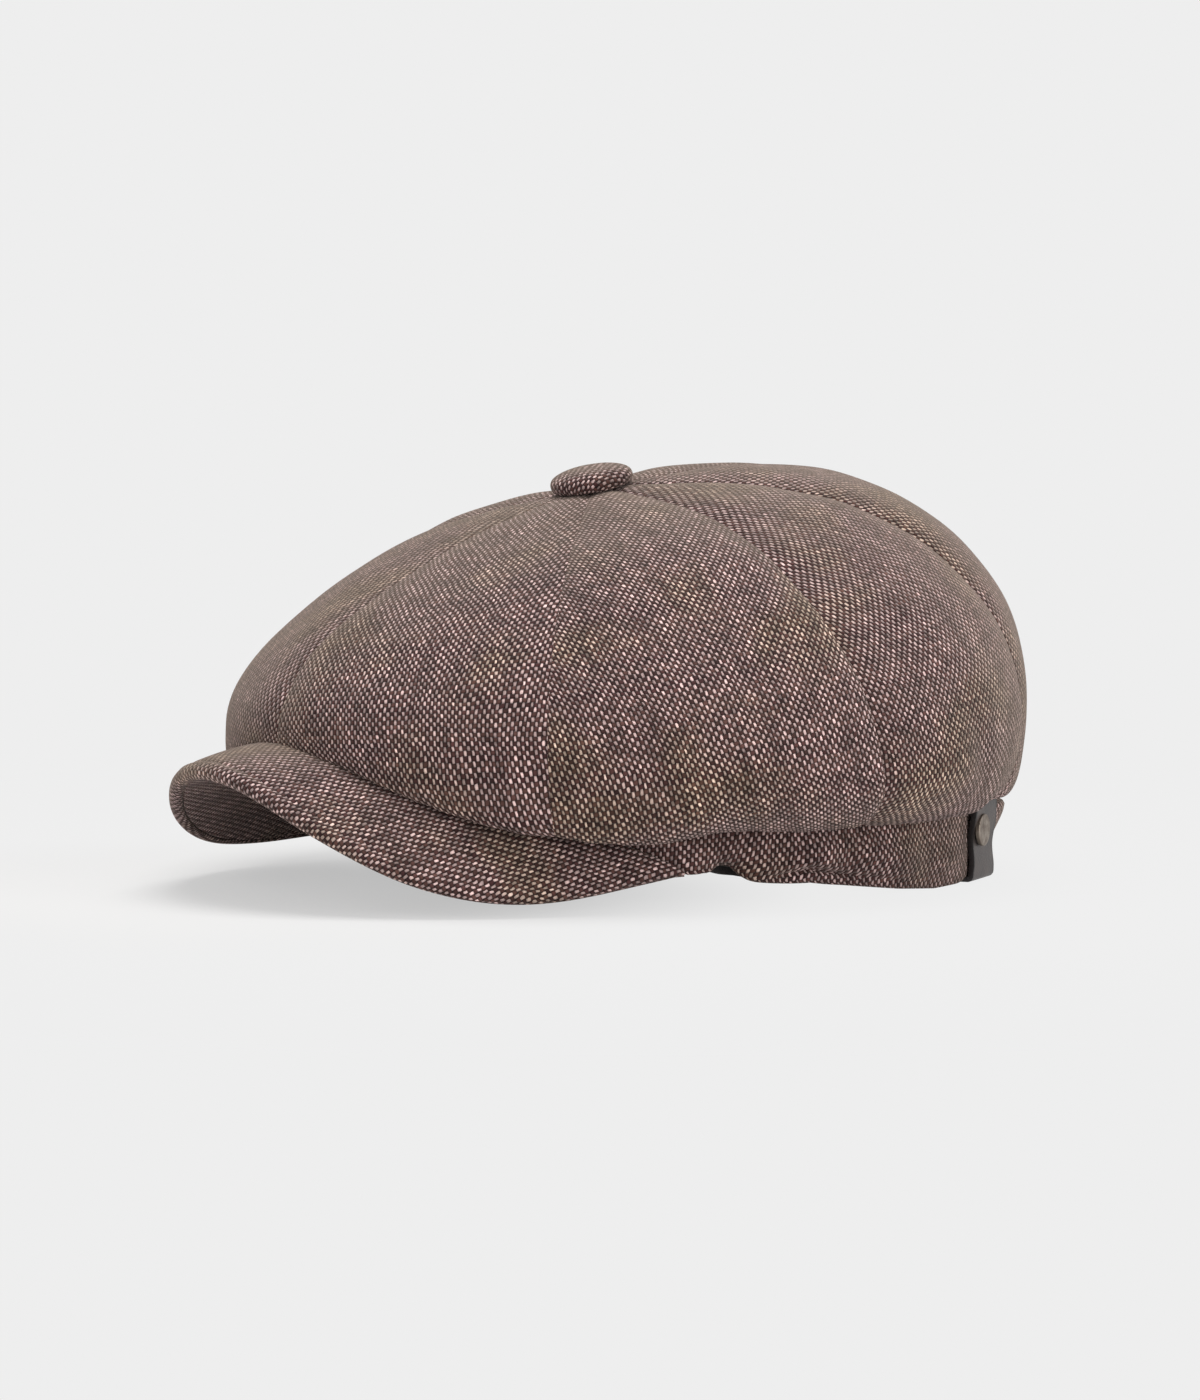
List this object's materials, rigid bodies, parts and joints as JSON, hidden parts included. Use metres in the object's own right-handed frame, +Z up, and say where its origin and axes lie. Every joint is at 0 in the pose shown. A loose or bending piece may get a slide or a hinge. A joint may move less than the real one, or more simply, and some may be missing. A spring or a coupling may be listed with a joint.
{
  "type": "newsboy cap",
  "caption": "Soft panelled newsboy cap in flecked tweed with a covered top button, stiff arched visor, headband and riveted leather tab.",
  "frame": {"origin": "on the table the cap rests on, under the centre of the head opening", "axes": "+Z up, visor towards -Y, wearer's left towards +X"},
  "size_m": [0.2232, 0.2483, 0.1185],
  "materials": {
    "tweed": "plain weave wool tweed, dark brown flecked with pale rose beige",
    "lining_satin": "dark brown satin lining",
    "canvas": "stiff natural canvas",
    "sweatband_twill": "dark cotton twill",
    "elastic": "ribbed knitted elastic",
    "visor_board": "matt flexible plastic board",
    "leather": "smooth dark grey brown leather",
    "aged_metal": "antiqued, matt",
    "button_metal": "plain pressed sheet"
  },
  "bodies": {
    "cap": {"band_interlining": "canvas", "button_back": "button_metal", "button_cover": "tweed", "button_shell": "button_metal", "button_washer": "button_metal", "crown_panel_front_left": "tweed", "crown_panel_front_right": "tweed", "crown_panel_rear_left": "tweed", "crown_panel_rear_right": "tweed", "crown_panel_side_left": "tweed", "crown_panel_side_right": "tweed", "crown_panel_temple_left": "tweed", "crown_panel_temple_right": "tweed", "headband_left": "tweed", "headband_right": "tweed", "leather_tab": "leather", "lining_front_left": "lining_satin", "lining_front_right": "lining_satin", "lining_rear_left": "lining_satin", "lining_rear_right": "lining_satin", "rear_elastic": "elastic", "sweatband": "sweatband_twill", "tab_rivet_back": "aged_metal", "tab_rivet_cap": "aged_metal"},
    "visor": {"visor_board": "visor_board", "visor_top_cover": "tweed", "visor_under_cover": "tweed"}
  },
  "joints": [
    {"name": "visor_flex", "type": "hinge", "parent": "cap", "child": "visor", "pos_m": [0, -0.03949, 0.0083], "axis": [1, 0, 0], "range_deg": [0, 10], "stiffness_Nm_per_rad": 1}
  ]
}
